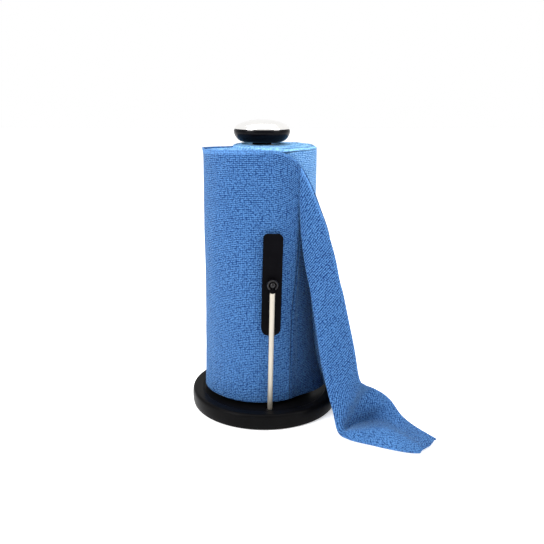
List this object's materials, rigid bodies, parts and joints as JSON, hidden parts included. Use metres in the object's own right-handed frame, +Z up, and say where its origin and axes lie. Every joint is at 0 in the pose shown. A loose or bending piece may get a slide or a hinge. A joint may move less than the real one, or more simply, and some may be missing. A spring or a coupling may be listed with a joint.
{
  "type": "paper towel holder",
  "caption": "Standing towel holder: weighted round base, sprung side arm with a pressing pad, screw-off top knob, and a cloth towel roll with a loose hanging end.",
  "frame": {"origin": "centre of the base's foot pad, on the surface it stands on", "axes": "+Z up along the base's axis, -Y towards the sprung arm, +X to the right when facing the arm"},
  "size_m": [0.2684, 0.2314, 0.3454],
  "materials": {
    "black_plastic": "satin black moulded plastic",
    "steel": "polished stainless steel, faintly brushed",
    "plain_steel": "zinc-plated steel",
    "iron": "rough cast",
    "rubber": "matte",
    "brass": "turned",
    "cardboard": "wound grey-brown board",
    "cloth": "fine looped microfibre"
  },
  "bodies": {
    "base": {"base_housing": "black_plastic", "base_weight": "iron", "bottom_cover": "black_plastic", "foot_pad": "rubber", "cover_screw_1": "plain_steel", "cover_screw_2": "plain_steel", "cover_screw_3": "plain_steel", "post_tube": "steel", "tie_rod": "plain_steel", "base_washer": "plain_steel", "base_nut": "plain_steel", "post_top_bush": "black_plastic", "arm_bracket": "plain_steel", "bracket_screw_1": "plain_steel", "bracket_screw_2": "plain_steel", "arm_pivot_pin": "plain_steel", "torsion_spring": "plain_steel"},
    "arm": {"arm_hub": "plain_steel", "arm_rod": "steel", "arm_tip": "black_plastic", "ball_stud": "black_plastic"},
    "pad": {"pad_plate": "black_plastic", "pad_face": "rubber", "socket_ring": "black_plastic"},
    "knob_lift": {"knob_glide": "black_plastic"},
    "knob": {"knob_body": "black_plastic", "knob_cap": "steel", "knob_insert": "brass"},
    "roll": {"roll_core": "cardboard", "towel_roll": "cloth", "loose_sheet": "cloth"}
  },
  "joints": [
    {"name": "arm_swing", "type": "hinge", "parent": "base", "child": "arm", "pos_m": [0, -0.0617, 0.009], "axis": [1, 0, 0], "range_deg": [0, 12], "stiffness_Nm_per_rad": 0.5, "springref_deg": -28.65, "deforming": ["torsion_spring"]},
    {"name": "pad_tilt", "type": "hinge", "parent": "arm", "child": "pad", "pos_m": [0.00325, -0.0685, 0.1683], "axis": [1, 0, 0], "range_deg": [0, 15]},
    {"name": "roll_spin", "type": "hinge", "parent": "base", "child": "roll", "pos_m": [-0.004, 0.0114, 0], "axis": [0, 0, 1], "range_deg": [-12, 250]},
    {"name": "knob_rise", "type": "slide", "parent": "base", "child": "knob_lift", "axis": [0, 0, 1], "range_m": [0, 0.00601]},
    {"name": "knob_turn", "type": "hinge", "parent": "knob_lift", "child": "knob", "pos_m": [-0.0042, 0.0003, 0.328], "axis": [0, 0, 1], "range_deg": [0, 720]}
  ],
  "couplings": [
    {"joint": "pad_tilt", "follows": "arm_swing", "ratio": 1.25},
    {"joint": "knob_rise", "follows": "knob_turn", "m_per_rad": 0.00047746}
  ]
}
